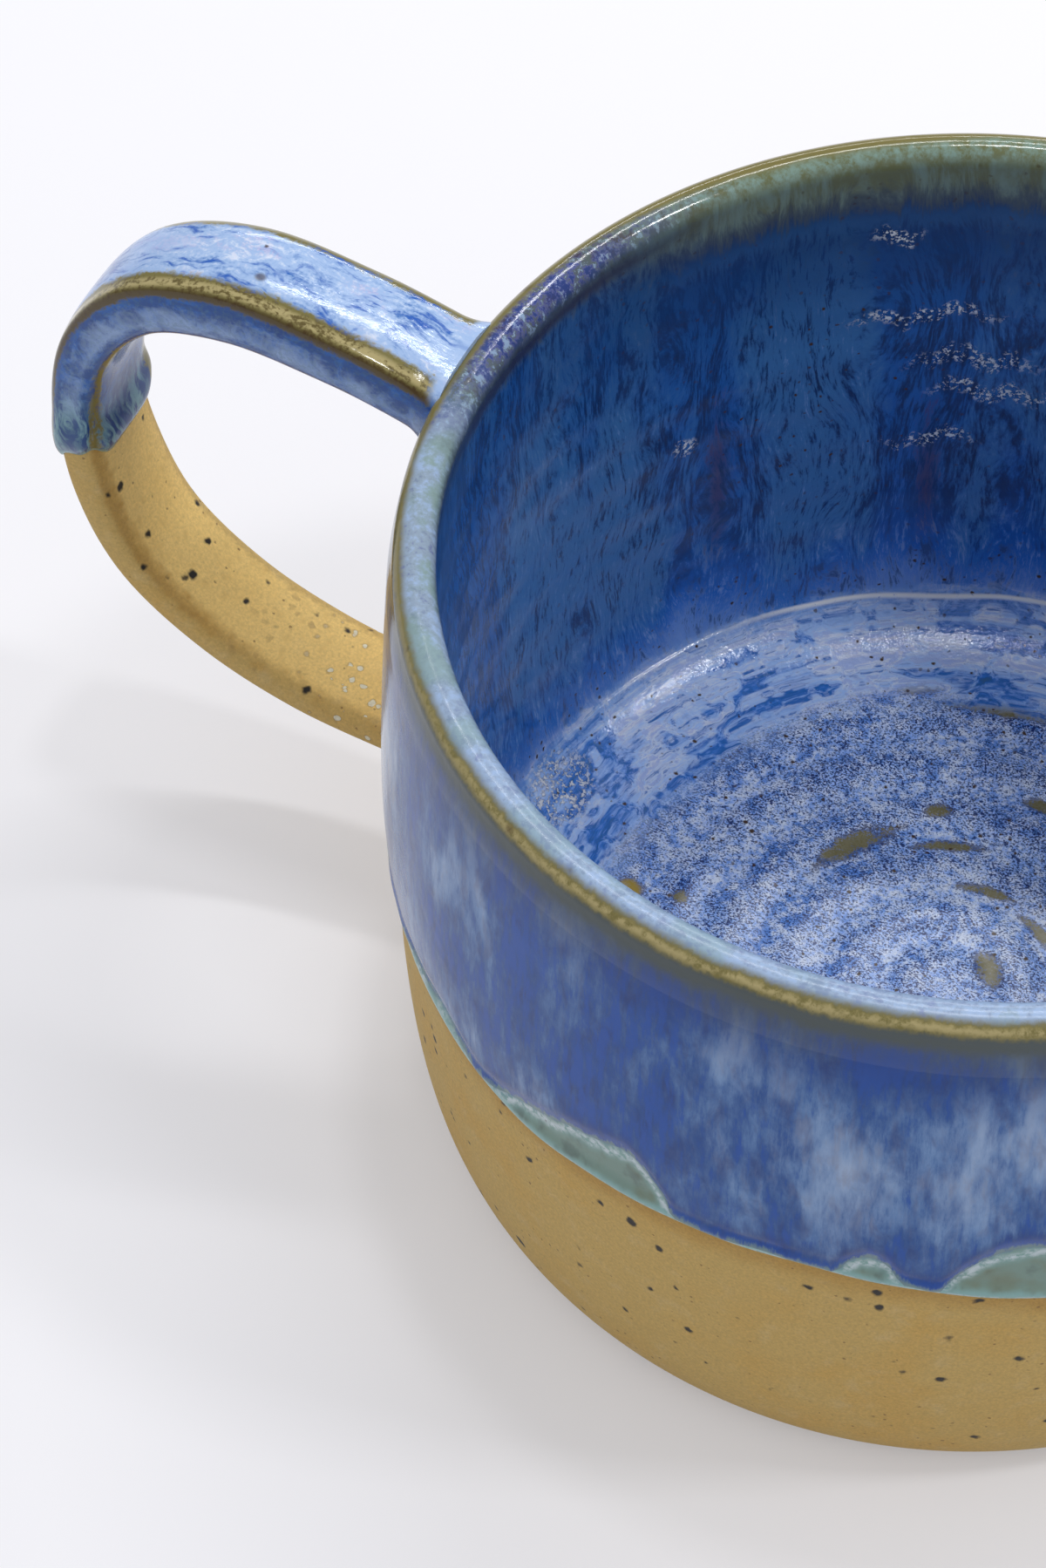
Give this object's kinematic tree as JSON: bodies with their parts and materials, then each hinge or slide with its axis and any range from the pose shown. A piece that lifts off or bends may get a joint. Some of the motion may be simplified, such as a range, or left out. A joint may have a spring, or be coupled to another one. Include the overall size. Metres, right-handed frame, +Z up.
{
  "type": "mug",
  "caption": "Wide hand-thrown stoneware mug with a pulled strap handle, blue glaze inside and over the upper half, and bare speckled clay below.",
  "frame": {"origin": "centre of the foot ring, on the plane that the mug stands on, on the axis of the bowl", "axes": "+Z up along the axis of the bowl; -X towards the handle; +Y across the handle"},
  "size_m": [0.1492, 0.1089, 0.0745],
  "materials": {
    "clay": "bare vitrified stoneware, satin matt, with dark iron specks",
    "slip": "smoothed joining clay, satin matt",
    "liner_glaze": "glossy streaked blue, paler and speckled on the floor",
    "rim_glaze": "glossy, breaking olive over the lip",
    "base_glaze": "glossy pale green",
    "blue_glaze": "glossy cloudy blue with paler streaks",
    "handle_glaze": "glossy pale blue, breaking olive along the edges"
  },
  "bodies": {
    "root": {"body": "clay", "handle": "clay", "upper_joint_slip": "slip", "lower_joint_slip": "slip", "liner_glaze": "liner_glaze", "rim_glaze": "rim_glaze", "base_glaze_coat": "base_glaze", "blue_glaze_coat": "blue_glaze", "handle_glaze": "handle_glaze"}
  },
  "joints": []
}
